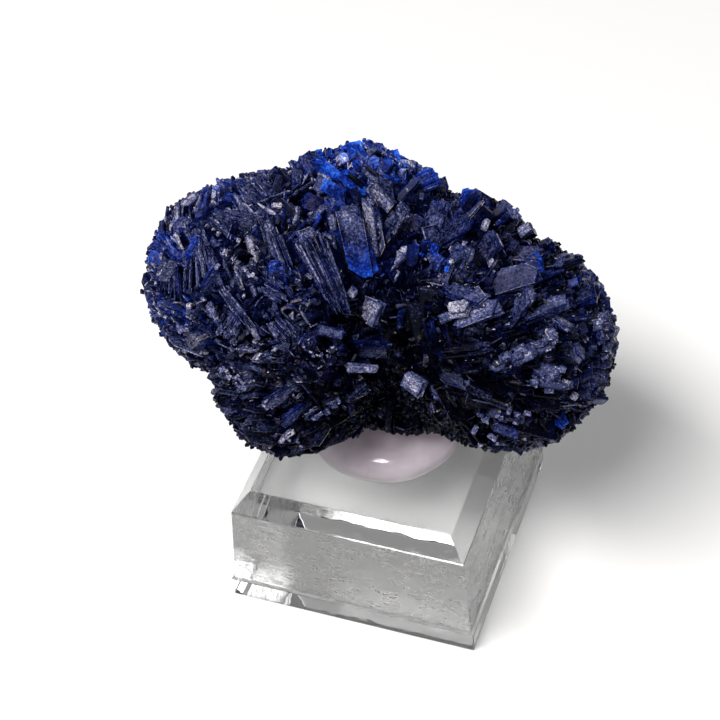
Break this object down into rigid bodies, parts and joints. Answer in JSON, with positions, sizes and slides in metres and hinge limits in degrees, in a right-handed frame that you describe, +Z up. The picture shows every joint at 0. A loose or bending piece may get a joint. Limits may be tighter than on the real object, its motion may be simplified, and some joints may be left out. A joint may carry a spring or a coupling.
{
  "type": "azurite specimen on a display base",
  "caption": "Cluster of dark blue bladed azurite crystals, glued with a milky bead to a clear bevelled square display base.",
  "frame": {"origin": "centre of the base's flat underside, on the surface that it stands on", "axes": "+Z up; X and Y along the square base's sides; the cluster's best side faces about 24 degrees to +X of -Y and 46 degrees up"},
  "size_m": [0.0584, 0.0411, 0.0569],
  "materials": {
    "azurite": "deep navy to royal blue vitreous crystal faces, some coated with a greyish lilac satin frost",
    "milky_glue": "glossy milky translucent adhesive",
    "clear_acrylic": "polished clear acrylic"
  },
  "bodies": {
    "root": {"azurite_cluster": "azurite", "glue_bead": "milky_glue", "acrylic_base": "clear_acrylic"}
  },
  "joints": []
}
